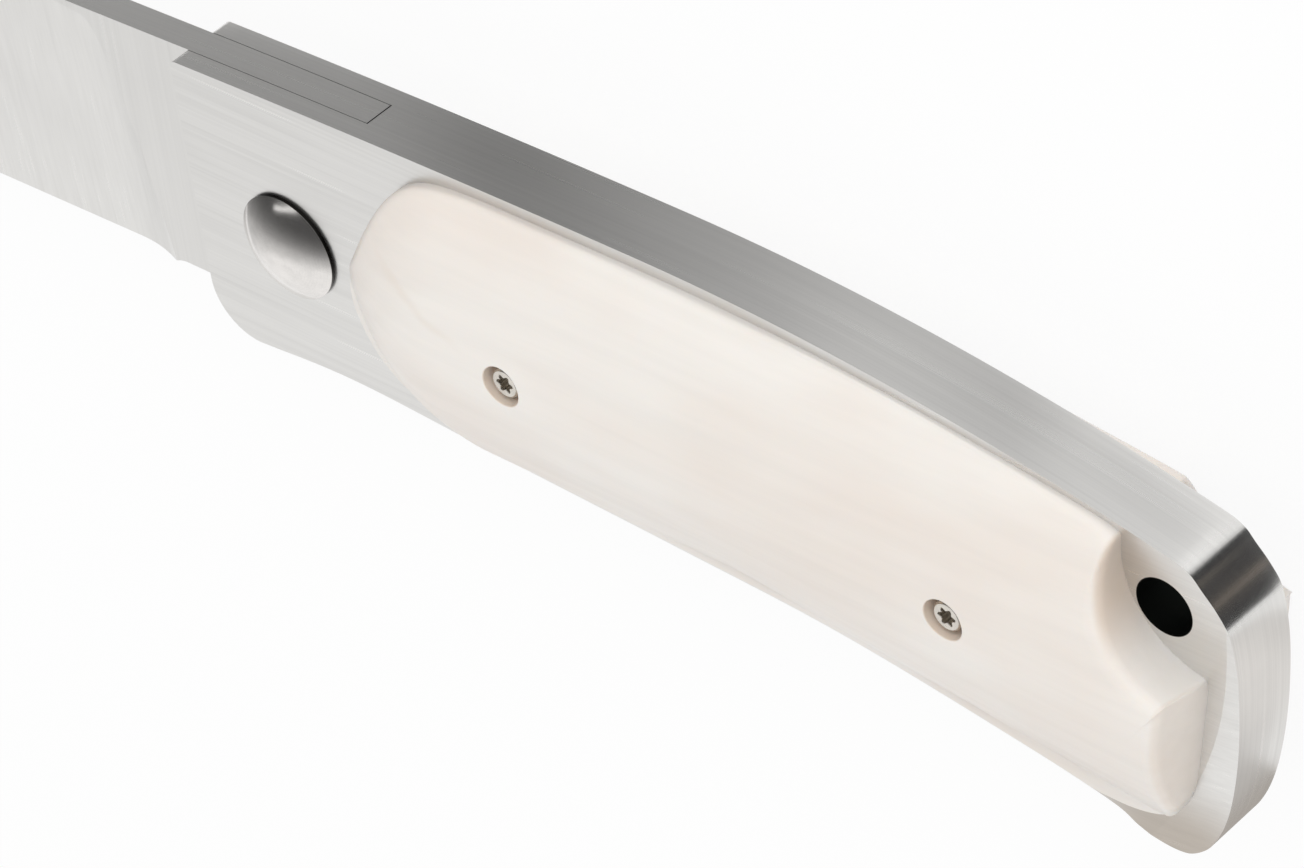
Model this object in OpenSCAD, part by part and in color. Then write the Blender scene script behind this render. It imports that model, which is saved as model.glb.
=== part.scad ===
// Folding pocket knife with steel bolsters, bone scales and a ball-detent slip joint.
// Frame: the origin is the centre of the lanyard hole, half way through the handle.
// +X points to the butt, +Y to the spine, +Z out of the marked side (the near side).
// The blade is drawn open, with its tip towards -X, and the knife lies on its far side.

/* [Handle] */
// Distance from the lanyard hole to the front of the bolsters
handle_reach = 90.4; // [86:0.1:96]
// Height of the spine's highest point above the lanyard hole
spine_h = 10.15; // [9.8:0.05:11]
// Radius of the long flat curve of the spine ahead of its highest point
spine_front_r = 1200; // [900:10:2000]
// Radius of the spine behind its highest point, where it drops to the butt
spine_rear_r = 190; // [180:1:230]
// Depth of the bolster's lower edge below the lanyard hole
bolster_drop = 15; // [14.7:0.1:15.6]
// Rise of the finger hollow above the bolster's lower edge
finger_hollow = 0.6; // [0:0.1:1]
// Depth of the middle of the lower edge below the lanyard hole
belly_drop = 15.85; // [15.6:0.05:16.6]
// Depth of the beak at the butt below the lanyard hole
beak_drop = 22.4; // [21.8:0.1:23]
// Distance from the lanyard hole to the end of the butt
butt_reach = 5.7; // [5.4:0.1:6.5]
// Radius of the bolster's lower front corner
front_corner_r = 4.2; // [2:0.1:5]
// Radius of the upper front corner of the bolsters
top_corner_r = 0.6; // [0.3:0.1:1.5]
// Thickness of each steel plate
plate_t = 1.65; // [1.5:0.05:2.2]
// Diameter of the lanyard hole
lanyard_d = 4.6; // [3:0.1:5]
// Radius of the inner edge of the facet ground round the butt
butt_facet_r = 35; // [33:0.5:37]
// Width of that facet at the beak
butt_facet_w = 3.2; // [2:0.1:4]
// Depth of that facet at its outer edge
butt_facet_h = 0.4; // [0.2:0.05:0.8]

/* [Blade] */
// Thickness of the blade at its spine
blade_t = 2.5; // [2:0.1:3.5]
// Gap between the blade and each plate
side_play = 0.05; // [0.03:0.01:0.1]
// Gap between the closed tip and the inner wall of the butt
tip_gap = 0.9; // [0.5:0.1:3]
// Thickness of the butt wall behind the closed tip, along the line of the pivot
butt_wall = 9.2; // [8.4:0.1:10]
// Fall of the spine towards the tip, in degrees
spine_fall = 2.2; // [0:0.1:3]
// Length of the straight part of the spine ahead of the bolsters
spine_straight = 21.6; // [10:0.1:30]
// Depth of the heel of the cutting edge below the pivot
edge_drop = 9; // [8.6:0.1:9.2]
// Fall of the cutting edge towards the tip, in degrees
edge_fall = 1.7; // [0:0.1:2.5]
// Length of the straight part of the cutting edge
edge_straight = 30; // [20:0.5:36]
// Depth of the tip below the pivot
tip_drop = 2.3; // [0:0.1:4]
// Full-thickness length of the blade ahead of the bolsters
ricasso = 4.4; // [3.5:0.1:8]
// Angle of the flat grind on each side, in degrees
grind_angle = 2.7; // [1.5:0.1:3]
// Extra thinning towards the tip on each side, in degrees
tip_taper = 0.3; // [0:0.1:0.5]
// Radius of the wheel that runs out at the ricasso
grind_wheel_r = 12; // [6:0.5:14]
// Half the thickness of the very edge
edge_flat = 0.03; // [0.02:0.01:0.05]
// Angle of the sharpened edge on each side, in degrees
edge_angle = 15; // [12:1:20]
// Length of the nail nick
nick_len = 13; // [8:0.5:16]
// Depth of the nail nick
nick_depth = 0.6; // [0.3:0.05:0.8]

/* [Pivot] */
// Distance from the front of the bolsters back to the pivot
pivot_setback = 9.6; // [9.2:0.1:10.5]
// Depth of the pivot below the lanyard hole
pivot_drop = 3.7; // [3:0.1:4.2]
// Outside diameter of the pivot barrel
pivot_d = 5; // [4:0.1:5.5]
// Running clearance on the radius between the blade and the barrel
pivot_play = 0.03; // [0.02:0.01:0.06]
// Turn of the blade from open to closed, in degrees
closing_angle = 174; // [170:0.5:176]
// Diameter of the domed pivot heads
dome_d = 8.8; // [8:0.1:10]
// Height of the domed pivot heads
dome_h = 1.8; // [1.2:0.1:2.4]
// Diameter of the screw shank inside the barrel
pivot_screw_d = 3; // [2:0.1:3.2]
// Outside diameter of the washers
washer_d = 12; // [9:0.1:12.4]
// Thickness of the washers
washer_t = 0.3; // [0.2:0.05:0.5]

/* [Stop and detent] */
// Diameter of the stop pin
stop_pin_d = 3; // [2.5:0.1:3.2]
// Distance from the pivot to the stop pin
stop_reach = 11.2; // [11:0.05:11.6]
// Direction of the stop pin from the pivot, in degrees above +X
stop_dir = 49; // [46:0.5:50]
// Diameter of the detent balls
ball_d = 1.6; // [1.4:0.05:1.8]
// Distance from the pivot to the detent balls
ball_reach = 8.1; // [7.8:0.05:8.2]
// How far a detent ball stands out of its plate
ball_proud = 0.35; // [0.2:0.05:0.45]
// Length of the detent springs between ball and rivets
spring_len = 22; // [18:0.5:24]
// Width of the detent springs
spring_w = 3; // [2.6:0.1:3.2]
// Thickness of the detent springs
spring_t = 0.5; // [0.4:0.05:0.6]
// Depth of the spring pockets in the plates
pocket_depth = 0.85; // [0.8:0.05:0.95]

/* [Scales] */
// Thickness of a scale at its crown
scale_t = 4.8; // [4:0.1:6]
// Radius of the crown across the handle
crown_r = 19; // [18.8:0.1:30]
// Fall of the rear half of the crown line towards the butt, in degrees
crown_slope = 6.2; // [2:0.1:8]
// Least thickness at the upper and lower edges of a scale
scale_edge_t = 0.4; // [0.3:0.05:1.2]
// Length over which the front of a scale rounds down
front_fade = 12.5; // [9:0.5:14]
// Distance from the front of the bolsters to the front of a scale
scale_setback = 15.7; // [15.4:0.1:17]
// Steel left showing above a scale
spine_margin = 0.95; // [0.5:0.05:1.4]
// Radius of the finger notch round the lanyard hole
notch_r = 7.7; // [6.5:0.1:8.5]
// Forward lean of the tail end of a scale over its thickness
tail_lean = 1; // [0:0.1:2.5]
// Slant of the tail end of a scale, in degrees off square
tail_slant = 10; // [6:0.5:12]
// Distance from the lanyard hole to the top of the tail end of a scale
tail_reach = 3.3; // [2.5:0.1:3.6]

/* [Fasteners] */
// Thread diameter of the scale screws
scale_screw_d = 1.6; // [1.4:0.1:1.8]
// Head diameter of the scale screws
scale_head_d = 2.4; // [2.2:0.1:2.8]
// Head height of the scale screws
scale_head_h = 1.2; // [0.9:0.1:1.6]
// Height of the scale screws' heads above the plate
scale_head_level = 4.35; // [2:0.05:4.6]
// Diameter of the counterbore round a scale screw's head
counterbore_d = 3.3; // [3:0.1:3.8]
// Point-to-point size of the six-lobed sockets
star_d = 1.5; // [1.3:0.05:1.7]
// Thread diameter of the frame screws
frame_screw_d = 1.6; // [1.4:0.1:2]
// Head diameter of the frame screws
frame_head_d = 3; // [2.6:0.1:3.4]
// Diameter of the dowel pins
dowel_d = 1.5; // [1.2:0.1:2]
// Clearance between fixed round pieces and their holes
seat_gap = 0.02; // [0.01:0.01:0.05]

/* [Hidden] */
$fn = 64;
eps = 0.01;
far_out = 60;

// Levels through the thickness, measured from the middle plane
slot_z = blade_t / 2 + side_play;
face_z = slot_z + plate_t;

// Places along the handle
front_x = -handle_reach;
pivot = [front_x + pivot_setback, -pivot_drop];
spine_peak_x = front_x / 2;
blade_reach = -pivot[0] + butt_reach - butt_wall - tip_gap;

// Height of the spine at a distance along the handle, as two flat arcs
function spine_y(x) =
    spine_h - pow(x - spine_peak_x, 2) / (2 * (x < spine_peak_x ? spine_front_r : spine_rear_r));

// Point at an angle and a distance from a centre
function polar(c, a, r) = c + r * [cos(a), sin(a)];

// Points of an arc from one angle to another
function arc(c, r, a0, a1, steps) = [for (i = [0:steps]) polar(c, a0 + (a1 - a0) * i / steps, r)];

// Point turned about the pivot
function turned(p, a) = pivot + [
    cos(a) * (p[0] - pivot[0]) - sin(a) * (p[1] - pivot[1]),
    sin(a) * (p[0] - pivot[0]) + cos(a) * (p[1] - pivot[1])
];

// Smooth curve through points, without the first and the last, which only steer it
function blend(a, b, c, d, t) =
    (2 * b + (c - a) * t + (2 * a - 5 * b + 4 * c - d) * t * t + (3 * b - a - 3 * c + d) * t * t * t) / 2;
function smooth(p, steps) = [
    for (i = [1:len(p) - 3]) for (j = [0:steps - 1]) blend(p[i - 1], p[i], p[i + 1], p[i + 2], j / steps)
];

// Handle outline, anticlockwise from the top of the bolsters
spine_end_x = butt_reach - 4.6;
butt_facet_c = [butt_reach - butt_facet_r - 0.6, 0.5];
bolster_corner = [front_x + front_corner_r, -bolster_drop + front_corner_r];
top_corner = [front_x + top_corner_r, spine_y(front_x + top_corner_r) - top_corner_r];
top_corner_path = arc(top_corner, top_corner_r, 180, 105, 5);
spine_path = [
    for (i = [0:48]) let (x = top_corner[0] + (spine_end_x - top_corner[0]) * i / 48) [x, spine_y(x)]
];
butt_guide = [
    [spine_end_x - 4, spine_y(spine_end_x - 4)],
    [spine_end_x, spine_y(spine_end_x)],
    [butt_reach - 3.25, 3.9],
    [butt_reach - 2.4, 2.95],
    [butt_reach - 1.25, 1.6],
    [butt_reach - 0.4, 0.1],
    [butt_reach - 0.08, -2],
    [butt_reach, -4.5],
    [butt_reach - 0.25, -8.3],
    [butt_reach - 0.75, -12],
    [butt_reach - 1.5, -beak_drop + 6.9],
    [butt_reach - 2.3, -beak_drop + 4.4],
    [butt_reach - 3.2, -beak_drop + 2.5],
    [butt_reach - 4.1, -beak_drop + 1.2],
    [butt_reach - 5.3, -beak_drop + 0.25],
    [butt_reach - 6.3, -beak_drop],
    [butt_reach - 7.7, -beak_drop + 0.2],
    [butt_reach - 9.7, -beak_drop + 0.9],
    [butt_reach - 12.2, -beak_drop + 2],
    [front_x / 6, -belly_drop - 2.95],
    [front_x / 3, -belly_drop - 0.85],
    [front_x / 2, -belly_drop],
    [front_x * 0.68, -belly_drop + 0.7],
    [front_x + 14.2, -bolster_drop + finger_hollow],
    [front_x + front_corner_r, -bolster_drop],
    [front_x + front_corner_r - 4, -bolster_drop - 0.2]
];
butt_path = smooth(butt_guide, 8);
corner_path = arc(bolster_corner, front_corner_r, 270, 180, 12);
handle_path = concat(top_corner_path, spine_path, butt_path, corner_path);

// Tang and stop, as angles from the pivot in the open position
stop_at = polar(pivot, stop_dir, stop_reach);
stop_half = asin(stop_pin_d / 2 / stop_reach);
stop_slack = 0.25;
stop_pin_seat = 1.07;
open_face_dir = stop_dir + stop_half + stop_slack;
closed_face_dir = stop_dir - stop_half - stop_slack - closing_angle;
tang_r = stop_reach - stop_pin_d / 2 - 0.3;
kick_r = 12.4;
tang_gap = 0.12;
tang_x = pivot[0] + 8.7;

// Blade outline points
kick_step = 0.45;
edge_heel = [front_x - ricasso - 1.5, pivot[1] - edge_drop];
edge_dir = 180 + edge_fall;
edge_bend = polar(edge_heel, edge_dir, edge_straight);
tip = [pivot[0] - blade_reach, pivot[1] - tip_drop];
spine_start = [front_x, spine_y(front_x)];
spine_dir = 180 + spine_fall;
spine_bend = polar(spine_start, spine_dir, spine_straight);

// Start of the grind ahead of the ricasso and below the spine, and the place of the nail nick
grind_run_out = 6.75;
grind_drop = 1.2;
nick_ahead = 10;
nick_drop = 2.3;
nick_w = 1.9;

// Radius of the arc that leaves a line at p in a direction and passes through q
function tangent_r(p, q, side) = (q - p) * (q - p) / (2 * ((q - p) * polar([0, 0], side, 1)));
belly_r = tangent_r(edge_bend, tip, edge_dir - 90);
belly_c = polar(edge_bend, edge_dir - 90, belly_r);
belly_turn = 2 * asin(norm(tip - edge_bend) / 2 / belly_r);
drop_r = tangent_r(spine_bend, tip, spine_dir + 90);
drop_c = polar(spine_bend, spine_dir + 90, drop_r);
drop_turn = 2 * asin(norm(tip - spine_bend) / 2 / drop_r);
belly_path = arc(belly_c, belly_r, edge_dir + 90, edge_dir + 90 - belly_turn, 16);
drop_path = arc(drop_c, drop_r, spine_dir - 90 + drop_turn, spine_dir - 90, 16);
kick_path = [
    polar(pivot, closed_face_dir, tang_r),
    polar(pivot, closed_face_dir, kick_r),
    [front_x - ricasso + 2.6, pivot[1] - edge_drop + kick_step],
    [front_x - ricasso - 0.2, pivot[1] - edge_drop + kick_step],
    [front_x - ricasso - 0.8, pivot[1] - edge_drop + kick_step * 0.7],
    [front_x - ricasso - 1.2, pivot[1] - edge_drop + kick_step * 0.3],
    edge_heel
];
tang_top = [for (i = [0:6]) let (x = front_x + (tang_x - front_x) * i / 6) [x, spine_y(x)]];
tang_path = concat(
    tang_top,
    arc(pivot, tang_r, open_face_dir, closed_face_dir, 60),
    kick_path,
    belly_path,
    drop_path
);

// Cavity in the spacer: the closed cutting edge raised by a gap, then the sweep of the tip
edge_room = 1.2;
cavity_front_x = tang_x + tang_gap - 1;
roof_path = concat(
    [[cavity_front_x, pivot[1] + 10.3]],
    [for (p = [kick_path[2], edge_heel, edge_bend]) turned(p, closing_angle) + [0, edge_room]],
    [for (i = [2:2:14]) turned(belly_path[i], closing_angle) + [0.2, 0.2] * edge_room * 3]
);
wall_r = blade_reach + tip_gap;
wall_top_dir = closing_angle - 180 + 5;
cavity_path = concat(
    roof_path,
    arc(pivot, wall_r, wall_top_dir, -20, 12),
    [[cavity_front_x, -far_out]]
);

// Detent springs, below the line of the scale screws
ball_at = polar(pivot, -10, ball_reach);
spring_dir = -11;
closed_ball_at = turned(ball_at, -closing_angle);
ball_z = slot_z - ball_proud + ball_d / 2;
ball_play = 0.04;
floor_z = face_z - pocket_depth;
rivet_d = 1.4;
rivet_pitch = 3.2;
rivet_head_d = 2.24;
pocket_play = 0.15;

// Scale outline, anticlockwise from the front of its upper edge
scale_front_x = front_x + scale_setback;
scale_lift = 0.45;
notch_c = [4.3, 2.8];
notch_end_margin = 0.28;
scale_top = [
    for (i = [0:20])
        let (x = front_x + 30.4 + (-front_x - 33.6) * i / 20)
        [x, spine_y(x) - spine_margin - (notch_end_margin - spine_margin) * pow(i / 20, 4)]
];
tail_top_y = -5.2;
tail_guide = [
    [tail_reach + 0.4, -2],
    [tail_reach + 0.3, tail_top_y],
    [tail_reach - 0.1, -8.3],
    [tail_reach - 0.7, -11.5],
    [tail_reach - 1.7, -15],
    [tail_reach - 2.8, -beak_drop + 5],
    [tail_reach - 3.9, -beak_drop + 3.7],
    [tail_reach - 5.7, -beak_drop + 3],
    [tail_reach - 8.3, -beak_drop + 2.6],
    [tail_reach - 12, -beak_drop + 2.9]
];
keel_edge = [
    for (p = butt_path)
        if (p[1] < -10 && p[0] < tail_reach - 10 && p[0] > scale_front_x + 14) p + [0, scale_lift]
];
scale_front_guide = [
    [scale_front_x + 12.5, -bolster_drop - 0.1],
    [scale_front_x + 9.3, -bolster_drop + 0.65],
    [scale_front_x + 7.6, -bolster_drop + 1.2],
    [scale_front_x + 6.3, -bolster_drop + 1.65],
    [scale_front_x + 5.1, -bolster_drop + 2.2],
    [scale_front_x + 3.9, -bolster_drop + 2.9],
    [scale_front_x + 2.7, -bolster_drop + 3.85],
    [scale_front_x + 1.7, -bolster_drop + 4.95],
    [scale_front_x + 0.9, -bolster_drop + 6.3],
    [scale_front_x + 0.2, -bolster_drop + 8.2],
    [scale_front_x, -bolster_drop + 9.9],
    [scale_front_x + 0.15, -bolster_drop + 11.3],
    [scale_front_x + 0.75, -bolster_drop + 12.9],
    [scale_front_x + 2.3, spine_h - 9.95],
    [scale_front_x + 3.8, spine_h - 7.4],
    [scale_front_x + 5.5, spine_h - 4.75],
    [scale_front_x + 6.9, spine_h - 3.15],
    [scale_front_x + 8.3, spine_h - 2.15],
    [scale_front_x + 9.8, spine_h - 1.55],
    [scale_front_x + 11.4, spine_h - 1.3],
    [scale_front_x + 13.8, spine_y(scale_front_x + 13.8) - spine_margin],
    [scale_front_x + 18, spine_y(scale_front_x + 18) - spine_margin]
];

// Bend of the crown line of the scales, which runs level before it and falls to the butt after it
crown_bend = [front_x + 52.4, -2.6];
scale_screws_at = [[front_x + 34.9, -2.6], [-15.6, -5.2]];

// Inside of the pivot: end gap and floor of the barrel, end gap of the screw, and its hex socket
pivot_end_gap = 0.1;
pivot_floor_t = 0.6;
pivot_screw_gap = 1.4;
hex_d = 2.9;
hex_depth = 1.3;

// Frame screws and dowels, in the solid of the spacer
frame_screws_at = [
    [front_x + 27, spine_y(front_x + 27) - 3.1],
    [front_x * 0.26, spine_y(front_x * 0.26) - 3.4],
    [butt_reach - 6.7, -13]
];
dowels_at = [
    [front_x * 0.52, spine_y(front_x * 0.52) - 3.2],
    [-8, spine_y(-8) - 4.4]
];

// Copies children for the near side, or mirrored for the far side
module side(far) {
    mirror([0, 0, far ? 1 : 0]) children();
}

// Round bar along Z from one level to another
module bar(at, d, z0, z1) {
    translate([at[0], at[1], z0]) cylinder(d = d, h = z1 - z0);
}

// Six-lobed socket, cut down from a level
module star(at, z, depth) {
    translate([at[0], at[1], z - depth]) {
        cylinder(d = star_d * 0.72, h = depth + eps);
        for (i = [0:5]) rotate(60 * i) translate([star_d * 0.36, 0, 0])
            cylinder(d = star_d * 0.28, h = depth + eps, $fn = 24);
    }
}

// Handle outline as a slab between two levels
module handle_slab(z0, z1) {
    translate([0, 0, z0]) linear_extrude(z1 - z0) polygon(handle_path);
}

// What the facet round the butt leaves of the near plate, a low cone ahead of full thickness
module butt_limit() {
    translate([butt_facet_c[0], butt_facet_c[1], face_z - butt_facet_h])
        cylinder(r1 = butt_facet_r + butt_facet_w, r2 = butt_facet_r, h = butt_facet_h, $fn = 180);
    translate([-far_out * 2, -far_out, 0]) cube([far_out * 3, far_out * 2, face_z - butt_facet_h]);
    translate([-far_out * 2, -far_out, 0]) cube([far_out * 1.6, far_out * 2, face_z + eps]);
}

// Rounded spring leaf outline, lengthened by a margin all round
module spring_outline(margin) {
    translate(ball_at) rotate(spring_dir) {
        circle(d = spring_w + 2 * margin);
        translate([0, -spring_w / 2 - margin]) square([spring_len, spring_w + 2 * margin]);
        translate([spring_len, 0]) circle(d = spring_w + 2 * margin);
    }
}

// Places of the two rivets at the root of a detent spring
function rivet_at(i) = polar(ball_at, spring_dir, spring_len - i * rivet_pitch);

// One steel plate with its bolster, drawn for the near side
module plate() {
    difference() {
        intersection() {
            handle_slab(slot_z, face_z);
            butt_limit();
        }
        bar([0, 0], lanyard_d, slot_z - eps, face_z + eps);
        bar(pivot, pivot_d + 2 * seat_gap, slot_z - eps, face_z + eps);
        bar(pivot, washer_d + 2 * seat_gap, slot_z - eps, slot_z + washer_t - side_play + eps);
        bar(stop_at, stop_pin_d + 2 * seat_gap, slot_z - eps, slot_z + stop_pin_seat + seat_gap);
        translate([0, 0, floor_z]) linear_extrude(pocket_depth + eps) spring_outline(pocket_play);
        bar(ball_at, ball_d + 2 * ball_play, slot_z - eps, floor_z + eps);
        for (i = [0:1]) bar(rivet_at(i), rivet_d + 2 * seat_gap, slot_z - eps, floor_z + eps);
        for (p = scale_screws_at) bar(p, scale_screw_d + 2 * seat_gap, slot_z - eps, face_z + eps);
        for (p = frame_screws_at) frame_screw_shape(p, seat_gap);
        for (p = dowels_at) bar(p, dowel_d + 2 * seat_gap, slot_z - eps, face_z + eps);
    }
}

// Countersunk frame screw, or its hole when a gap is given
module frame_screw_shape(at, gap) {
    head_h = (frame_head_d - frame_screw_d) / 2;
    translate([at[0], at[1], face_z - head_h])
        cylinder(
            r1 = frame_screw_d / 2 + gap,
            r2 = frame_head_d / 2 + gap,
            h = head_h + (gap > 0 ? eps : 0)
        );
    bar(at, frame_screw_d + 2 * gap, 0.1 - gap, face_z - head_h + eps);
}

// Outline of a scale on the plate
module scale_outline() {
    difference() {
        intersection() {
            polygon(concat(
                scale_top,
                [[notch_c[0], notch_c[1] + 2], [notch_c[0], tail_top_y]],
                smooth(tail_guide, 6),
                keel_edge,
                smooth(scale_front_guide, 6)
            ));
            polygon(handle_path);
        }
        translate(notch_c) circle(r = notch_r, $fn = 120);
    }
}

// Solid under the crown of a scale: two runs of cylinder with balls at the front and at the bend
module crown() {
    edge_z = face_z + scale_edge_t;
    front_run = crown_bend[0] - scale_front_x - front_fade;
    translate([crown_bend[0], crown_bend[1], face_z + scale_t - crown_r]) {
        translate([-front_run, 0, 0]) rotate([0, 90, 0]) {
            sphere(r = crown_r, $fn = 180);
            cylinder(r = crown_r, h = front_run, $fn = 180);
        }
        rotate([0, 90, -crown_slope / 2]) sphere(r = crown_r, $fn = 180);
        rotate([0, 90, -crown_slope]) cylinder(r = crown_r, h = far_out * 2, $fn = 180);
    }
    translate([-far_out * 2, -far_out, 0]) cube([far_out * 3, far_out * 2, edge_z]);
}

// Half space behind the leaning tail end of a scale
module tail_cut() {
    lean = atan(tail_lean / scale_t);
    translate([tail_reach, tail_top_y, face_z]) rotate([0, 0, -tail_slant]) rotate([0, -lean, 0])
        translate([0, -far_out, -5]) cube([20, far_out * 2, 30]);
}

// One bone scale, drawn for the near side
module scale() {
    difference() {
        intersection() {
            translate([0, 0, face_z]) linear_extrude(scale_t) scale_outline();
            crown();
        }
        tail_cut();
        for (p = scale_screws_at) {
            bar(p, scale_screw_d + 0.1, face_z - eps, face_z + scale_t);
            bar(p, counterbore_d, face_z + scale_head_level - scale_head_h, face_z + scale_t + 1);
        }
    }
}

// Domed head that stands on the outer face of a plate
module dome() {
    dome_r = (pow(dome_d / 2, 2) + pow(dome_h, 2)) / (2 * dome_h);
    translate([pivot[0], pivot[1], face_z]) intersection() {
        translate([0, 0, dome_h - dome_r]) sphere(r = dome_r, $fn = 120);
        cylinder(d = dome_d, h = dome_h + eps);
    }
}

// Flat grind on the near side of the blade, with the run-out of the wheel at the ricasso
module grind() {
    above = 12;
    start = [front_x - ricasso - grind_run_out, spine_y(front_x) - grind_drop, blade_t / 2];
    translate(start) rotate(spine_fall) rotate([grind_angle, -tip_taper, 0]) {
        translate([-far_out * 2, -far_out, 0]) cube([far_out * 2, far_out + above, far_out]);
        translate([0, above, grind_wheel_r]) rotate([90, 0, 0])
            cylinder(r = grind_wheel_r, h = far_out + above, $fn = 120);
    }
}

// Sharpened edge on the near side, one flat along each stretch of the cutting edge
module sharpening() {
    slope = tan(edge_angle);
    lap = 0.3;
    wedge = [[1, edge_flat - slope], [1, 3], [-3 / slope, 3], [-3 / slope, edge_flat + 3]];
    cut_path = concat([polar(edge_heel, edge_dir, 2)], belly_path);
    for (i = [0:len(cut_path) - 2]) {
        run = cut_path[i + 1] - cut_path[i];
        back = i == 0 ? 0 : lap;
        translate(cut_path[i]) rotate([0, 0, atan2(run[1], run[0])]) translate([-back, 0, 0])
            rotate([90, 0, 90]) linear_extrude(norm(run) + back + lap) polygon(wedge);
    }
}

// Nail nick, a slanted disc cut in the near side
module nail_nick() {
    cutter_r = (pow(nick_len / 2, 2) + pow(nick_depth, 2)) / (2 * nick_depth);
    at = polar(spine_bend, spine_dir, nick_ahead) - [0, nick_drop];
    translate([at[0], at[1], blade_t / 2 + cutter_r - nick_depth]) rotate(spine_fall) rotate([90, 0, 0])
        cylinder(r1 = cutter_r, r2 = cutter_r - nick_depth * 1.2, h = nick_w, $fn = 240);
}

module blade() {
    color("gainsboro") difference() {
        translate([0, 0, -blade_t / 2]) linear_extrude(blade_t) polygon(tang_path);
        bar(pivot, pivot_d + 2 * pivot_play, -blade_t, blade_t);
        for (far = [false, true]) side(far) {
            grind();
            sharpening();
            for (p = [ball_at, closed_ball_at])
                translate([p[0], p[1], ball_z]) sphere(d = ball_d + 2 * ball_play, $fn = 48);
        }
        nail_nick();
    }
}

module near_plate() {
    color("silver") plate();
}

module far_plate() {
    color("silver") side(true) plate();
}

module back_spacer() {
    color("darkgray") difference() {
        handle_slab(-slot_z, slot_z);
        translate([0, 0, -slot_z - eps]) linear_extrude(2 * slot_z + 2 * eps) polygon(cavity_path);
        translate([front_x - 1, -far_out, -slot_z - eps])
            cube([tang_x + tang_gap - front_x + 1, far_out * 2, 2 * slot_z + 2 * eps]);
        bar([0, 0], lanyard_d, -slot_z - eps, slot_z + eps);
        for (p = frame_screws_at) bar(p, frame_screw_d + 2 * seat_gap, -slot_z - eps, slot_z + eps);
        for (p = dowels_at) bar(p, dowel_d + 2 * seat_gap, -slot_z - eps, slot_z + eps);
    }
}

module pivot_barrel() {
    color("white") difference() {
        union() {
            dome();
            bar(pivot, pivot_d, pivot_end_gap - face_z, face_z);
        }
        bar(pivot, pivot_screw_d + 2 * seat_gap, -face_z, face_z - pivot_floor_t);
    }
}

module pivot_screw() {
    color("white") side(true) difference() {
        union() {
            dome();
            bar(pivot, pivot_screw_d, pivot_screw_gap - face_z, face_z);
        }
        translate([pivot[0], pivot[1], face_z + dome_h - hex_depth])
            cylinder(d = hex_d, h = hex_depth + 1, $fn = 6);
    }
}

// Washer between the blade and a plate, let into the plate
module washer() {
    translate([pivot[0], pivot[1], slot_z - side_play + eps]) difference() {
        cylinder(d = washer_d, h = washer_t - eps);
        translate([0, 0, -eps]) cylinder(d = pivot_d + 2 * pivot_play, h = washer_t + 1);
    }
}

module near_washer() {
    color("goldenrod") washer();
}

module far_washer() {
    color("goldenrod") side(true) washer();
}

module stop_pin() {
    color("gray") bar(stop_at, stop_pin_d, -slot_z - stop_pin_seat, slot_z + stop_pin_seat);
}

// Spring leaf with a hole that holds its ball
module detent_spring() {
    difference() {
        translate([0, 0, floor_z]) linear_extrude(spring_t) spring_outline(0);
        bar(ball_at, ball_d - ball_play / 2, floor_z - eps, floor_z + spring_t + eps);
        for (i = [0:1]) bar(rivet_at(i), rivet_d + 2 * seat_gap, floor_z - eps, floor_z + spring_t + eps);
    }
}

module near_detent_spring() {
    color("slategray") detent_spring();
}

module far_detent_spring() {
    color("slategray") side(true) detent_spring();
}

module near_detent_ball() {
    color("black") translate([ball_at[0], ball_at[1], ball_z]) sphere(d = ball_d - ball_play, $fn = 48);
}

module far_detent_ball() {
    color("black") side(true) near_detent_ball();
}

// Two rivets that hold the root of a spring, headed over the leaf
module spring_rivets() {
    for (i = [0:1]) {
        bar(rivet_at(i), rivet_d, slot_z, floor_z + spring_t);
        bar(rivet_at(i), rivet_head_d, floor_z + spring_t, face_z - seat_gap);
    }
}

module near_spring_rivets() {
    color("lightgray") spring_rivets();
}

module far_spring_rivets() {
    color("lightgray") side(true) spring_rivets();
}

module near_scale() {
    color("ivory") scale();
}

module far_scale() {
    color("ivory") side(true) scale();
}

// Two screws that pass through a scale into its plate
module scale_screws() {
    for (p = scale_screws_at) difference() {
        union() {
            bar(p, scale_screw_d, slot_z + 0.02, face_z + scale_head_level - scale_head_h);
            bar(p, scale_head_d, face_z + scale_head_level - scale_head_h, face_z + scale_head_level);
        }
        star(p, face_z + scale_head_level, scale_head_h * 0.7);
    }
}

module near_scale_screws() {
    color("lightgray") scale_screws();
}

module far_scale_screws() {
    color("lightgray") side(true) scale_screws();
}

// Countersunk screws under a scale, from the plate into the spacer
module frame_screws() {
    for (p = frame_screws_at) difference() {
        frame_screw_shape(p, 0);
        star(p, face_z, 0.5);
    }
}

module near_frame_screws() {
    color("dimgray") frame_screws();
}

module far_frame_screws() {
    color("dimgray") side(true) frame_screws();
}

module dowel_pins() {
    color("gray") for (p = dowels_at) bar(p, dowel_d, -face_z, face_z);
}

blade();
near_plate();
far_plate();
back_spacer();
pivot_barrel();
pivot_screw();
near_washer();
far_washer();
stop_pin();
near_detent_spring();
far_detent_spring();
near_detent_ball();
far_detent_ball();
near_spring_rivets();
far_spring_rivets();
near_scale();
far_scale();
near_scale_screws();
far_scale_screws();
near_frame_screws();
far_frame_screws();
dowel_pins();
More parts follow.
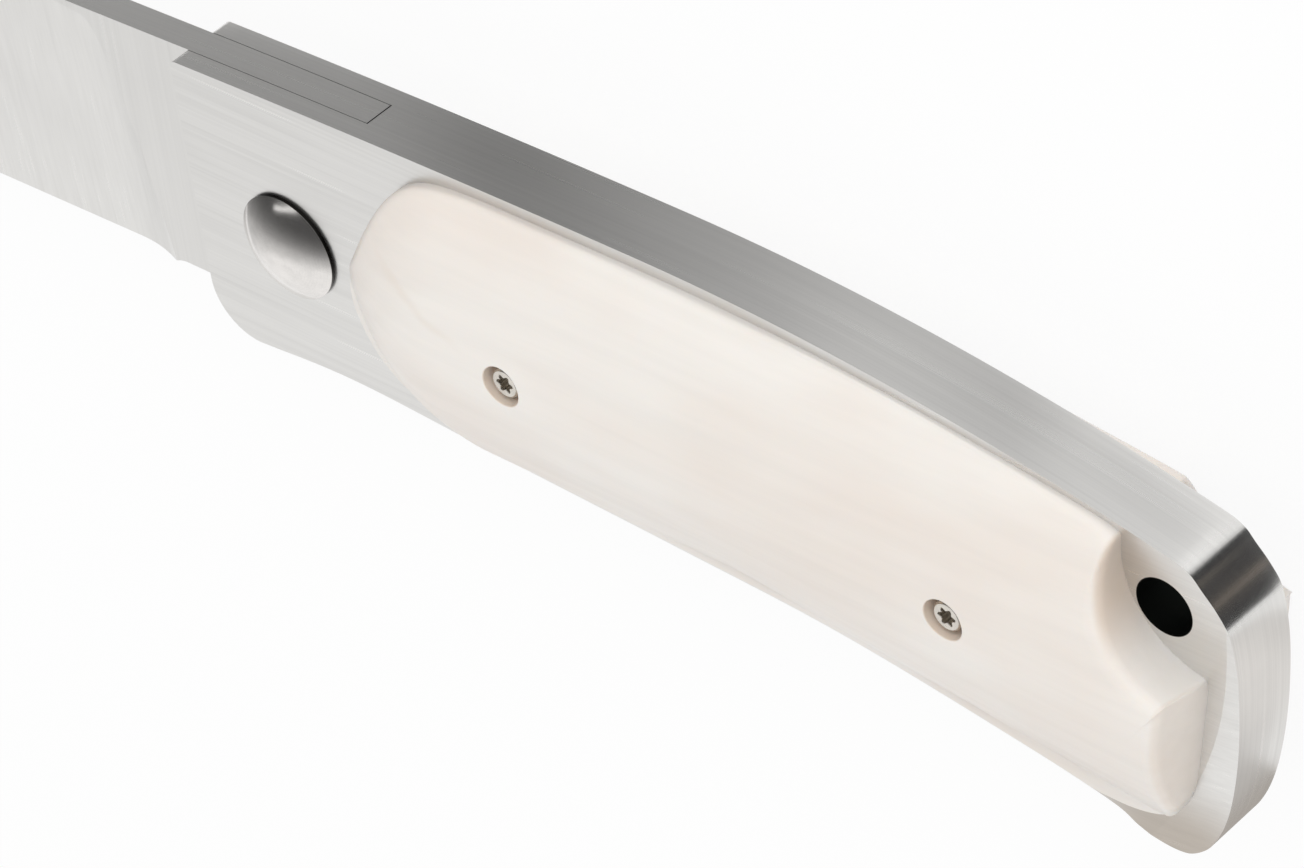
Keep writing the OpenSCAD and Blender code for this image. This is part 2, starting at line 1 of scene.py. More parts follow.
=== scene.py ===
# %% [markdown]
# # A folding pocket knife, open
#
# The knife has a steel frame of two plates and a spacer, a blade that turns on a
# domed pivot, and a contoured bone scale on each side. The solids come from the
# CAD frame, which holds the true sizes, and this notebook gives them their looks.
# Where a solid is only a plain form of the real piece, as with the bone scales, the
# domes and the small screws, a finer surface takes its place. Blender works in
# metres. The origin is the centre of the lanyard hole, +X points to the butt, +Y to
# the spine, and +Z out of the near side.

# %% Load the frame
import bpy
import numpy as np
from mathutils import Matrix, Vector


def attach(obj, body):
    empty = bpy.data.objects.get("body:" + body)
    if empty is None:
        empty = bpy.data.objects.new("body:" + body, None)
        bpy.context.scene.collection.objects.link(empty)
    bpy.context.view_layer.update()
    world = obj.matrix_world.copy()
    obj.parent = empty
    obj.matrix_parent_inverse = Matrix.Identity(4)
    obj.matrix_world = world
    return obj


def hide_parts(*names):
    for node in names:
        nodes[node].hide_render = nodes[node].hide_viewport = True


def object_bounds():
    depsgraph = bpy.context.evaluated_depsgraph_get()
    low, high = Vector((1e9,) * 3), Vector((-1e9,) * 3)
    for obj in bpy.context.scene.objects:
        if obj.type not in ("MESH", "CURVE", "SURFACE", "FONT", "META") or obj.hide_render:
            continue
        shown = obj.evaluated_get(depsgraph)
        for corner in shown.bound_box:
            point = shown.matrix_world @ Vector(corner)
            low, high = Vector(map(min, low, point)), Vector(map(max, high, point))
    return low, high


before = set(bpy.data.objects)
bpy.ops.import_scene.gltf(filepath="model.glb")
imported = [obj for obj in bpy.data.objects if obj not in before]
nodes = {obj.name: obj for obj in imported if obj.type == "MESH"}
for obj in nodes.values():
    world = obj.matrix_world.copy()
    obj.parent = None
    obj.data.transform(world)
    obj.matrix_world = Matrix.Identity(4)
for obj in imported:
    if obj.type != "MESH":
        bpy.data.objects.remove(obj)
cad_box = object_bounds()

# %% [markdown]
# ## The camera
#
# A camera can be set by eye, with an empty to look at, or by a camera solve. Here the
# straight edges, the round holes and the two sides of the frame were solved for one
# place and one long lens, so the rows below are simply the camera's right and down
# directions in the knife's own frame. The cross product gives the third direction,
# and one matrix sets them all.

# %% Camera
camera_place = np.array([0.22309, 0.29119, 0.25992])
camera_right = np.array([0.74884, -0.11326, -0.65300])
camera_down = np.array([0.34629, -0.77323, 0.53123])
camera_lens, film_width = 187.26, 36.0


def make_camera():
    """A camera whose axes are the solved directions, made exactly square."""
    right = camera_right / np.linalg.norm(camera_right)
    back = np.cross(right, -camera_down)
    back /= np.linalg.norm(back)
    turn = np.stack([right, np.cross(back, right), back], axis=1)
    lens = bpy.data.cameras.new("camera")
    lens.lens = camera_lens
    lens.sensor_width = film_width
    lens.clip_start, lens.clip_end = 0.01, 20.0
    camera = bpy.data.objects.new("camera", lens)
    camera.matrix_world = Matrix.Translation(camera_place) @ Matrix(turn.tolist()).to_4x4()
    bpy.context.collection.objects.link(camera)
    bpy.context.scene.camera = camera
    return camera


camera = make_camera()
print("camera at", tuple(round(v, 4) for v in camera.location), "lens", camera_lens, "mm")

# %% [markdown]
# ## From grids of points to closed pieces
#
# Every new piece is a grid of points worked out with numpy: rows run one way over the
# surface and columns the other way. A grid is quick to work out, and its squares
# follow from the row and column numbers alone. Several grids make one piece. Where
# two grids meet, or where a row shrinks to one point, corners fall on the same place.
# `join_grids` makes those corners one, so that seams and poles are closed, and turns
# a square that has lost a side into a triangle.

# %% Grids and pieces
MM = 0.001
smooth_angle, merge_digits = np.radians(32), 5


def squares_of(rows, columns):
    """Corner numbers of the squares of a grid whose last column joins the first."""
    number = np.arange(rows * columns).reshape(rows, columns)
    number = np.hstack([number, number[:, :1]])
    corners = [number[:-1, :-1], number[:-1, 1:], number[1:, 1:], number[1:, :-1]]
    return np.stack(corners, axis=-1).reshape(-1, 4)


def on_side(side, points, squares):
    """A grid as it is, or for side -1 mirrored, with its squares still facing outwards."""
    return (points, squares) if side > 0 else (points * (1, 1, -1), squares[:, ::-1])


def join_grids(grids):
    """Points and faces of several grids as one: equal points merged, spare ones left out."""
    starts = np.cumsum([0] + [points.shape[0] for points, _ in grids[:-1]])
    points = np.concatenate([points for points, _ in grids])
    faces = np.concatenate([squares + start for (_, squares), start in zip(grids, starts)])
    rounded = np.round(points, merge_digits)
    _, first, where = np.unique(rounded, axis=0, return_index=True, return_inverse=True)
    used, faces = np.unique(where.reshape(-1)[faces], return_inverse=True)
    faces = faces.reshape(-1, 4)
    same = faces == np.roll(faces, -1, axis=1)
    lost = same.sum(axis=1)
    parts = [faces[lost == 0]]
    parts += [np.delete(faces[(lost == 1) & same[:, k]], k, axis=1) for k in range(4)]
    return points[first[used]], sum([part.tolist() for part in parts], [])


def make_piece(name, grids, material, body, node, sharp=smooth_angle):
    """A smooth piece from grids in millimetres, which replaces a CAD node on its body."""
    points, faces = join_grids(grids)
    mesh = bpy.data.meshes.new(name)
    mesh.from_pydata((points * MM).tolist(), [], faces)
    mesh.polygons.foreach_set("use_smooth", np.ones(len(mesh.polygons), dtype=bool))
    mesh.set_sharp_from_angle(angle=sharp)
    mesh.materials.append(material)
    piece = bpy.data.objects.new(name, mesh)
    bpy.context.collection.objects.link(piece)
    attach(piece, body)
    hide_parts(node)
    print(name, "has", len(points), "points and", len(faces), "faces")
    return piece


# %% [markdown]
# ## Small helpers for materials
#
# Every finish is a Principled shader with its pattern worked out from Object
# coordinates, so that it stays on the piece when the piece moves. The helpers below
# only make nodes and join them, so that each finish further down reads as a recipe.

# %% Material helpers
def new_material(name, colour, metallic, roughness):
    """A Principled material with plain values on its own sockets."""
    material = bpy.data.materials.new(name)
    material.use_nodes = True
    shader = material.node_tree.nodes["Principled BSDF"]
    shader.inputs["Base Color"].default_value = (*colour, 1)
    shader.inputs["Metallic"].default_value = metallic
    shader.inputs["Roughness"].default_value = roughness
    return material, shader


def tree_of(owner):
    """The nodes of a material or a world; a group of nodes is a tree itself."""
    return owner if isinstance(owner, bpy.types.NodeTree) else owner.node_tree


def join(material, value, socket):
    """A link, where the value is another node's output, or else a plain value."""
    if isinstance(value, bpy.types.NodeSocket):
        tree_of(material).links.new(value, socket)
    elif socket.type == "RGBA":
        socket.default_value = (value,) * 3 + (1,) if np.isscalar(value) else (*value, 1)
    else:
        socket.default_value = value


def add(material, kind, **settings):
    """One node of a kind with its settings."""
    node = tree_of(material).nodes.new(kind)
    for key, value in settings.items():
        setattr(node, key, value)
    return node


def add_with(material, kind, *values, **settings):
    """One node with its settings, and its inputs in order."""
    node = add(material, kind, **settings)
    for value, socket in zip(values, node.inputs):
        join(material, value, socket)
    return node


def sum_up(material, operation, *values):
    """One step of arithmetic on numbers."""
    return add_with(material, "ShaderNodeMath", *values, operation=operation).outputs[0]


def place_on(material, scale=(1, 1, 1), shift=(0, 0, 0)):
    """Object coordinates, first shifted and then stretched along each axis."""
    mapping = add(material, "ShaderNodeMapping", vector_type="POINT")
    mapping.inputs["Scale"].default_value = scale
    mapping.inputs["Location"].default_value = [s * k for s, k in zip(shift, scale)]
    join(material, add(material, "ShaderNodeTexCoord").outputs["Object"], mapping.inputs["Vector"])
    return mapping.outputs["Vector"]


def parts_of(material, vector):
    """The three numbers of a vector."""
    return add_with(material, "ShaderNodeSeparateXYZ", vector).outputs


def distance(material, centre):
    """How far a point lies from the upright axis through a centre."""
    vector = place_on(material, (1, 1, 0), [-c for c in centre])
    return add_with(material, "ShaderNodeVectorMath", vector, operation="LENGTH").outputs["Value"]


def fade(material, value, start, end):
    """0 before start and 1 after end, with a soft step between; end may be smaller."""
    node = add(material, "ShaderNodeMapRange", interpolation_type="SMOOTHSTEP")
    rises = start < end
    limits = {"From Min": min(start, end), "From Max": max(start, end),
              "To Min": float(not rises), "To Max": float(rises)}
    for socket, number in limits.items():
        node.inputs[socket].default_value = number
    join(material, value, node.inputs["Value"])
    return node.outputs["Result"]


def noise(material, vector, detail, roughness):
    """Smooth noise from 0 to 1 along a vector, with finer layers of a given roughness."""
    node = add(material, "ShaderNodeTexNoise")
    values = {"Vector": vector, "Scale": 1.0, "Detail": detail, "Roughness": roughness}
    for socket, value in values.items():
        join(material, value, node.inputs[socket])
    return node.outputs["Fac"]


def ramp(material, value, stops):
    """A colour ramp through (place, colour) stops; a colour is one number or three."""
    node = add(material, "ShaderNodeValToRGB")
    while len(node.color_ramp.elements) < len(stops):
        node.color_ramp.elements.new(0.5)
    for element, (place, colour) in zip(node.color_ramp.elements, stops):
        element.position = place
        element.color = (colour,) * 3 + (1,) if np.isscalar(colour) else (*colour, 1)
    join(material, value, node.inputs["Fac"])
    return node.outputs["Color"]


def shades(material, pattern, colour, low, high):
    """A colour that follows a pattern; low and high are (place, share of the colour)."""
    stops = [(place, [min(c * share, 1.0) for c in colour]) for place, share in (low, high)]
    return ramp(material, pattern, stops)


def mix(material, share, first, second, blend="MIX"):
    """Two colours mixed by a share; each is an output, one number or three."""
    node = add(material, "ShaderNodeMix", data_type="RGBA", blend_type=blend)
    sockets = (node.inputs[0], node.inputs[6], node.inputs[7])
    for socket, value in zip(sockets, (share, first, second)):
        join(material, value, socket)
    return node.outputs[2]


def lift(material, shader, height, strength, depth):
    """Bump from a height between 0 and 1, as deep as depth."""
    node = add(material, "ShaderNodeBump")
    for socket, value in (("Strength", strength), ("Distance", depth), ("Height", height)):
        join(material, value, node.inputs[socket])
    join(material, node.outputs["Normal"], shader.inputs["Normal"])


# %% [markdown]
# ## Brushed steel
#
# A belt leaves long fine scratches along the handle. A picture of brushed metal would
# show its seams, so the lines are noise that is squeezed across the belt and drawn
# out along it. The same lines tint the colour, vary the roughness and lift the
# surface by a hair. On the edges the belt followed the outline, so the lines turn
# there, and the choice is made from the surface's own direction. The bore of the
# lanyard hole is painted near black as painted shade, and a brown patch of painted
# shade lies on the plate by the beak. The blade has a finish of its own, fainter and
# a hair darker, whose lines run from the spine to the edge.

# %% Brushed steel
lanyard_r = 2.3 * MM
line_long, line_broad, line_fine = 30.0, 1900.0, 5200.0
edge_contrast, bend_roughness, bore_roughness = 0.08, 0.24, 0.6
face_from, bend_from, bend_to = (0.4, 0.6), (0.25, 0.5), (0.98, 0.93)
# a brown patch of painted shade lies on the plate by the beak
beak_at, beak_shade_colour, beak_shade_reach = (-0.001, -0.0235, 0), (0.64, 0.585, 0.53), (11 * MM, 3 * MM)
# the lanyard bore is painted near black as painted shade
bore_shade_colour, bore_reach = (0.012, 0.014, 0.012), (lanyard_r * 1.035, lanyard_r * 1.01)
cloud_scale, cloud_share = (70, 160, 160), 0.3


def brushed_lines(material, along):
    """Noise drawn out along the named axes: broad lines and fine lines, half and half."""
    layers = []
    for across in (line_broad, line_fine):
        scale = [line_long if axis in along else across for axis in "XYZ"]
        layers.append(noise(material, place_on(material, scale), detail=2.0, roughness=0.6))
    return mix(material, 0.5, *layers)


def brushed_steel(name, colour, roughness, along, contrast, depth):
    """Steel with lines along one axis on its faces, and along the outline on its edges."""
    material, shader = new_material(name, colour, 1.0, roughness)
    normal = parts_of(material, add(material, "ShaderNodeTexCoord").outputs["Normal"])
    facing_x, facing_z = [sum_up(material, "ABSOLUTE", normal[axis]) for axis in ("X", "Z")]
    on_face = fade(material, facing_z, *face_from)
    bend_limits = [fade(material, facing_x, *limits) for limits in (bend_from, bend_to)]
    lines = mix(material, on_face, brushed_lines(material, "XY"), brushed_lines(material, along))
    clouds = noise(material, place_on(material, cloud_scale), detail=2.0, roughness=0.5)
    pattern = mix(material, cloud_share, lines, clouds)
    tint, edge_tint = [shades(material, pattern, colour, (0.36, 1 - most), (0.60, 1 + most / 3))
                       for most in (contrast, edge_contrast)]
    tint = mix(material, on_face, edge_tint, tint)
    # painted shade: a brown patch on the plate by the beak
    beak_shade = fade(material, distance(material, beak_at), *beak_shade_reach)
    tint = mix(material, beak_shade, tint, mix(material, 1.0, tint, beak_shade_colour, "MULTIPLY"))
    # painted shade: the lanyard bore near black
    bore = fade(material, distance(material, (0, 0, 0)), *bore_reach)
    join(material, mix(material, bore, tint, bore_shade_colour), shader.inputs["Base Color"])
    rough = ramp(material, lines, [(0.3, roughness + 0.05), (0.7, roughness - 0.04)])
    rough = mix(material, sum_up(material, "MULTIPLY", *bend_limits), rough, bend_roughness)
    join(material, mix(material, bore, rough, bore_roughness), shader.inputs["Roughness"])
    lift(material, shader, lines, strength=0.35, depth=depth)
    return material


frame_steel = brushed_steel(
    "frame_steel", (0.80, 0.79, 0.77), 0.3, along="X", contrast=0.05, depth=2e-6)
blade_steel = brushed_steel(
    "blade_steel", (0.795, 0.785, 0.765), 0.3, along="Y", contrast=0.03, depth=1e-6)
print("brushed steels:", frame_steel.name, blade_steel.name)

# %% [markdown]
# ## Smooth curves on the steel
#
# The CAD solids have knife-sharp corners and flat little faces on their curves. Real
# plates are smooth round the butt. A CAD node's mesh is loose triangles and is left as
# it is, and a small geometry-nodes group does the work as a modifier. It merges the
# triangles, and shades two of them as one where they lie in one plane, or where the
# edge between them runs straight through the thickness and they meet at a shallow
# angle. All other edges stay crisp.

# %% Smooth curves
flat_angle, shallow_angle = np.radians(0.5), np.radians(24)
upright_share, merge_distance = 0.95, 1e-7


def compare(group, operation, first, second):
    """A yes or no from two numbers."""
    node = add_with(group, "FunctionNodeCompare", first, second, operation=operation)
    return node.outputs["Result"]


def decide(group, operation, first, second):
    """A yes or no from two others."""
    return add_with(group, "FunctionNodeBooleanMath", first, second, operation=operation).outputs[0]


def smooth_group():
    """Merge the corners, and shade smooth over flat edges and over shallow upright ones."""
    group = bpy.data.node_groups.new("merge_and_smooth", "GeometryNodeTree")
    for way in ("INPUT", "OUTPUT"):
        group.interface.new_socket("Geometry", in_out=way, socket_type="NodeSocketGeometry")
    angle = add(group, "GeometryNodeInputMeshEdgeAngle").outputs["Unsigned Angle"]
    ends = add(group, "GeometryNodeInputMeshEdgeVertices").outputs
    run = add_with(group, "ShaderNodeVectorMath", ends["Position 1"], ends["Position 2"],
                   operation="SUBTRACT")
    unit = add_with(group, "ShaderNodeVectorMath", run.outputs[0], operation="NORMALIZE")
    upright = sum_up(group, "ABSOLUTE", parts_of(group, unit.outputs[0])["Z"])
    shallow = decide(group, "AND", compare(group, "GREATER_THAN", upright, upright_share),
                     compare(group, "LESS_THAN", angle, shallow_angle))
    even = decide(group, "OR", shallow, compare(group, "LESS_THAN", angle, flat_angle))
    merge = add_with(group, "GeometryNodeMergeByDistance", add(group, "NodeGroupInput").outputs[0])
    merge.inputs["Distance"].default_value = merge_distance
    faces = add_with(group, "GeometryNodeSetShadeSmooth", merge.outputs["Geometry"])
    edges = add_with(group, "GeometryNodeSetShadeSmooth", faces.outputs["Geometry"], domain="EDGE")
    join(group, even, edges.inputs["Shade Smooth"])
    add_with(group, "NodeGroupOutput", edges.outputs["Geometry"])
    return group


merge_and_smooth = smooth_group()
for node in ("near_plate", "far_plate", "back_spacer"):
    nodes[node].modifiers.new("smooth", "NODES").node_group = merge_and_smooth
print("smoothed with", len(merge_and_smooth.nodes), "nodes")

# %% [markdown]
# ## Small fittings
#
# The pivot heads are buffed, so that they mirror the studio with only faint rings
# from the buffing wheel. The screws are turned on a lathe, which leaves fine circles
# round each screw's own axis. Springs, balls, pins and washers hardly show. They
# share one recipe with a light grain, so that none of them looks like plastic when
# the knife is taken apart.

# %% Fittings
pivot_at, screws_at = (-80.8, -3.7), ((-55.5, -2.6), (-15.6, -5.2))
# the dark foot of the domes is painted shade where they stand on the plate
dome_foot, foot_soft, foot_shade_colour = 3.27, 0.06, (0.03, 0.028, 0.026)
ring_share, grain_scale, drawn_scale = 0.03, (900, 900, 900), (700, 2200, 2200)


def turned_metal(name, colour, roughness, centres, rings, depth, foot=0.0):
    """Metal with fine rings round the nearest axis, a light grain, and painted shade below a foot.
    """
    material, shader = new_material(name, colour, 1.0, roughness)
    away = [distance(material, (x * MM, y * MM, 0)) for x, y in centres]
    nearest = away[0] if len(away) == 1 else sum_up(material, "MINIMUM", *away)
    circles = sum_up(material, "SINE", sum_up(material, "MULTIPLY", nearest, rings))
    grain = noise(material, place_on(material, grain_scale), detail=3.0, roughness=0.6)
    pattern = sum_up(material, "MULTIPLY_ADD", circles, ring_share, grain)
    tint = shades(material, pattern, colour, (0.3, 0.93), (0.7, 1.04))
    height = sum_up(material, "ABSOLUTE", parts_of(material, place_on(material))["Z"])
    # painted shade: dark below the foot's height
    below = fade(material, height, foot * MM, (foot - foot_soft) * MM)
    join(material, mix(material, below, tint, foot_shade_colour), shader.inputs["Base Color"])
    rough = ramp(material, pattern, [(0.3, roughness * 1.15), (0.7, roughness * 0.9)])
    join(material, rough, shader.inputs["Roughness"])
    if depth:
        lift(material, shader, pattern, strength=0.3, depth=depth)
    return material


def grained_metal(name, colour, roughness):
    """Metal with a fine grain in its colour and its roughness."""
    material, shader = new_material(name, colour, 1.0, roughness)
    grain = noise(material, place_on(material, drawn_scale), detail=3.0, roughness=0.6)
    tint = shades(material, grain, colour, (0.3, 0.88), (0.7, 1.0))
    join(material, tint, shader.inputs["Base Color"])
    rough = ramp(material, grain, [(0.3, roughness + 0.08), (0.7, roughness)])
    join(material, rough, shader.inputs["Roughness"])
    lift(material, shader, grain, strength=0.3, depth=2e-6)
    return material


polished_steel = turned_metal("polished_steel", (0.80, 0.775, 0.75), 0.16, (pivot_at,),
                              rings=30000.0, depth=0.0, foot=dome_foot)
screw_steel = turned_metal("screw_steel", (0.72, 0.68, 0.62), 0.26, screws_at,
                           rings=24000.0, depth=1e-6)
hard_steel = grained_metal("hard_steel", (0.6, 0.6, 0.6), 0.2)
spring_steel = grained_metal("spring_steel", (0.3, 0.32, 0.38), 0.35)
bronze = grained_metal("bronze", (0.6, 0.38, 0.16), 0.3)
fittings = (polished_steel, screw_steel, hard_steel, spring_steel, bronze)
print("fittings:", *[finish.name for finish in fittings])

# %% [markdown]
# ## Bone
#
# Polished bone is a warm white with faint streaks along its length, cloudy patches
# that lean to pink, and one thin tan vein. Light goes a little way in, which
# subsurface scattering gives. On the near scale, the upper wall of the finger notch,
# the tail end and the screw holes get a tan painted shade in their colour. Those
# walls are found from their place, by the distance from the notch's centre and from
# the plane of the tail end.

# %% Bone
face_z = 2.95
notch_c, notch_r, notch_soft = np.array([4.3, 2.8]), 7.7, 0.45
tail_point, tail_slant, tail_lean = np.array([3.3, -5.2]), np.radians(10), 1 / 4.8
tail_away = np.array([np.cos(tail_slant), -np.sin(tail_slant)])
vein_from, vein_to = np.array([-68.2, 3.0]), np.array([-59.8, -1.0])
vein_sway, vein_half, vein_reach = 0.8 * MM, 0.7 * MM, (6.0 * MM, 2.5 * MM)
upper_from, near_from = (-3.4 * MM, 0.6 * MM), (-0.5 * MM, 0.5 * MM)
tail_from, hole_from = (-0.4 * MM, -0.05 * MM), (1.74 * MM, 1.66 * MM)
# the last two shares set the tan painted shade on the notch wall, holes and tail end
vein_share, wall_shade_share, tail_shade_share = 0.13, 0.6, 0.4
streak_scale, patch_scale, sway_scale = (40, 700, 700), (45, 100, 60), (260, 260, 0)
# the tan is the vein's own colour and also the colour of the painted shade
bone_pale, bone_pink, vein_and_shade_tan = (0.85, 0.812, 0.765), (0.815, 0.75, 0.69), (0.66, 0.52, 0.40)


def past_line(material, away, point):
    """How far a place in the plan lies past a line: away . (place - point on the line)."""
    x, y, _ = parts_of(material, place_on(material))
    past = sum_up(material, "MULTIPLY_ADD", x, float(away[0]), -float(away @ point) * MM)
    return sum_up(material, "MULTIPLY_ADD", y, float(away[1]), past)


def beside_line(material, start, end, wander):
    """How far a place in the plan lies from the line through two points, with a wander."""
    run = (end - start) / np.linalg.norm(end - start)
    past = past_line(material, np.array([-run[1], run[0]]), start)
    return sum_up(material, "ABSOLUTE", sum_up(material, "ADD", past, wander))


def vein_on(material):
    """A thin wandering tan vein that fades out at both ends."""
    sway = noise(material, place_on(material, sway_scale), detail=2.0, roughness=0.5)
    wander = sum_up(material, "MULTIPLY_ADD", sway, 2 * vein_sway, -vein_sway)
    thin = fade(material, beside_line(material, vein_from, vein_to, wander), vein_half, 0.0)
    middle = (*((vein_from + vein_to) / 2 * MM), 0)
    near = fade(material, distance(material, middle), *vein_reach)
    return sum_up(material, "MULTIPLY", thin, near)


def painted_wall_shade(material):
    """Painted shade: 1 on the near notch's upper wall and in the holes, less on the near tail end.
    """
    _, y, z = parts_of(material, place_on(material))
    from_middle = distance(material, (*(notch_c * MM), 0))
    notch = fade(material, from_middle, (notch_r + notch_soft) * MM, notch_r * MM)
    upper = fade(material, y, *upper_from)
    height = sum_up(material, "SUBTRACT", sum_up(material, "ABSOLUTE", z), face_z * MM)
    past_tail = past_line(material, tail_away, tail_point)
    past_tail = sum_up(material, "MULTIPLY_ADD", height, tail_lean, past_tail)
    tail = fade(material, past_tail, *tail_from)
    bores = [fade(material, distance(material, (u * MM, v * MM, 0)), *hole_from)
             for u, v in screws_at]
    on_notch = sum_up(material, "MULTIPLY", notch, upper)
    on_tail = sum_up(material, "MULTIPLY", tail, tail_shade_share)
    on_ends = sum_up(material, "MAXIMUM", on_notch, on_tail)
    on_ends = sum_up(material, "MULTIPLY", on_ends, fade(material, z, *near_from))
    return sum_up(material, "MAXIMUM", on_ends, sum_up(material, "MAXIMUM", *bores))


def bone_material():
    """Warm white bone: streaks and patches, one vein, and a tan painted shade on cut walls."""
    material, shader = new_material("bone", bone_pale, 0.0, 0.36)
    shader.inputs["Subsurface Weight"].default_value = 0.12
    shader.inputs["Subsurface Radius"].default_value = (1.0, 0.7, 0.45)
    shader.inputs["Subsurface Scale"].default_value = 1.2 * MM
    shader.inputs["IOR"].default_value = 1.5
    streaks = noise(material, place_on(material, streak_scale), detail=4.0, roughness=0.6)
    patches = noise(material, place_on(material, patch_scale), detail=2.0, roughness=0.5)
    colour = ramp(material, patches, [(0.36, bone_pink), (0.62, bone_pale)])
    grey = ramp(material, streaks, [(0.3, 0.965), (0.6, 1.0)])
    colour = mix(material, 1.0, colour, grey, "MULTIPLY")
    vein = sum_up(material, "MULTIPLY", vein_on(material), vein_share)
    colour = mix(material, vein, colour, vein_and_shade_tan)
    # painted shade: tan on the near notch's upper wall, the tail end and the screw holes
    wall_shade = sum_up(material, "MULTIPLY", painted_wall_shade(material), wall_shade_share)
    join(material, mix(material, wall_shade, colour, vein_and_shade_tan), shader.inputs["Base Color"])
    join(material, ramp(material, streaks, [(0.3, 0.42), (0.7, 0.32)]), shader.inputs["Roughness"])
    lift(material, shader, streaks, strength=0.3, depth=6e-6)
    return material


bone = bone_material()
print("bone made, vein", round(float(np.linalg.norm(vein_to - vein_from)), 1), "mm long")

# %% [markdown]
# ## Dress the CAD nodes
#
# A CAD node keeps its shape and takes a finish through its material slots.

# %% Dress the CAD nodes
finishes = {
    frame_steel: ("near_plate", "far_plate", "back_spacer"),
    blade_steel: ("blade",),
    bronze: ("near_washer", "far_washer"),
    spring_steel: ("near_detent_spring", "far_detent_spring"),
    hard_steel: ("stop_pin", "near_detent_ball", "far_detent_ball", "near_spring_rivets",
                 "far_spring_rivets", "dowel_pins"),
    screw_steel: ("near_frame_screws", "far_frame_screws"),
}
for material, names in finishes.items():
    for node in names:
        for place in nodes[node].material_slots:
            place.material = material
print("dressed", sum(len(names) for names in finishes.values()), "nodes")

# %% [markdown]
# ## The bone scales
#
# A scale is sawn to its outline, crowned across the handle, and rounded at its rim.
# It could be an extruded outline with a Bevel, but the crown makes the rim's height
# change all the way round, and a Bevel with one width looks wrong there. Instead the
# scale is one grid that runs round the outline like the rings of an onion: out along
# the flat back, up the wall, over the rounded rim, and in over the crown to a middle
# line. The outline itself is read from the CAD solid's flat back, so that it fits.

# %% Outline of a scale
back_level_gap, rim_digits = 1e-3, 4
pole_below, pole_above = np.array([-20.0, -60.0]), np.array([-20.0, 60.0])
split_y, screw_clear, tip_slope = -5.05, 2.0, 0.3


def back_rim(node):
    """Corners of the edges that border just one triangle of the flat back, in mm."""
    mesh = nodes[node].data
    points = np.empty(len(mesh.vertices) * 3)
    mesh.vertices.foreach_get("co", points)
    corners = np.empty(len(mesh.loops), dtype=np.int64)
    mesh.loops.foreach_get("vertex_index", corners)
    triangles = points.reshape(-1, 3)[corners].reshape(-1, 3, 3) / MM
    flat = triangles[np.all(np.abs(triangles[:, :, 2] - face_z) < back_level_gap, axis=1)][:, :, :2]
    rounded = np.round(flat.reshape(-1, 2), rim_digits)
    places, where = np.unique(rounded, axis=0, return_inverse=True)
    where = where.reshape(-1, 3)
    edges = np.sort(np.stack([where, np.roll(where, -1, axis=1)], axis=-1).reshape(-1, 2), axis=1)
    single, count = np.unique(edges, axis=0, return_counts=True)
    rim = places[np.unique(single[count == 1])]
    away = np.linalg.norm(rim[:, None] - np.array(screws_at)[None], axis=2).min(axis=1)
    return rim[away > screw_clear]


def in_turn(points, pole, sense):
    """Points put in order by the direction in which a far pole sees them."""
    angle = np.arctan2(*(points - pole).T[::-1])
    return points[np.argsort(sense * np.unwrap(np.mod(angle, 2 * np.pi)))]


rim = back_rim("near_scale")
rim_front = np.array([rim[:, 0].min(), split_y])
rim_tip = rim[np.argmax(rim[:, 0] + tip_slope * rim[:, 1])]
upper_rim = np.vstack([rim_front, in_turn(rim[rim[:, 1] > split_y], pole_below, -1), rim_tip])
lower_rim = np.vstack([rim_front, in_turn(rim[rim[:, 1] < split_y], pole_above, 1), rim_tip])
print("rim corners:", len(rim), "front", rim_front.round(2), "tip", rim_tip.round(2))

# %% [markdown]
# Ribs join the lower and the upper half of the rim through a middle line. Seven pins
# say which places belong together, and between the pins everything is spread evenly.
# At the front and at the tail several ribs share one middle point, like a fan. Light
# strokes of a file take the sharpness off the corners of the outline: each stroke
# moves every point a little towards its two neighbours.

# %% Ribs of a scale
rib_counts = np.array([70, 50, 150, 36, 44, 66])
file_strokes = 30
lower_pins = np.array([
    rim_front, (-70.5, -12.3), (-60, -14.7), (-18, -17.9), (-9, -19.4), (-2.5, -19.4), rim_tip])
middle_pins = np.array([
    (-66, -1.5), (-66, -1.5), (-59, 1.8), (-18, 0.6), (-9, -3.5), (-2.5, -11.5), (-2.5, -11.5)])
upper_pins = np.array([
    rim_front, (-71, 2.6), (-60, 9.1), (-16, 7.2), (-3.2, 5.2), (-1.2, -2.6), rim_tip])
pin_ribs = np.concatenate([[0], np.cumsum(rib_counts)])
ribs = np.arange(pin_ribs[-1] + 1)


def spread(chain, pins):
    """Points along a chain: pins at their nearest corners, evenly spaced in between."""
    length = np.concatenate([[0], np.cumsum(np.linalg.norm(np.diff(chain, axis=0), axis=1))])
    nearest = np.linalg.norm(chain[:, None] - pins[None], axis=2).argmin(axis=0)
    wanted = np.interp(ribs, pin_ribs, length[nearest])
    return np.stack([np.interp(wanted, length, chain[:, k]) for k in (0, 1)], axis=1)


middle = np.stack([np.interp(ribs, pin_ribs, middle_pins[:, k]) for k in (0, 1)], axis=1)
outline = np.vstack([spread(lower_rim, lower_pins)[:-1], spread(upper_rim, upper_pins)[:0:-1]])
for _ in range(file_strokes):
    outline = (np.roll(outline, 1, axis=0) + 2 * outline + np.roll(outline, -1, axis=0)) / 4
inner_line = np.vstack([middle[:-1], middle[:0:-1]])
print("outline of", len(outline), "points round a middle line")

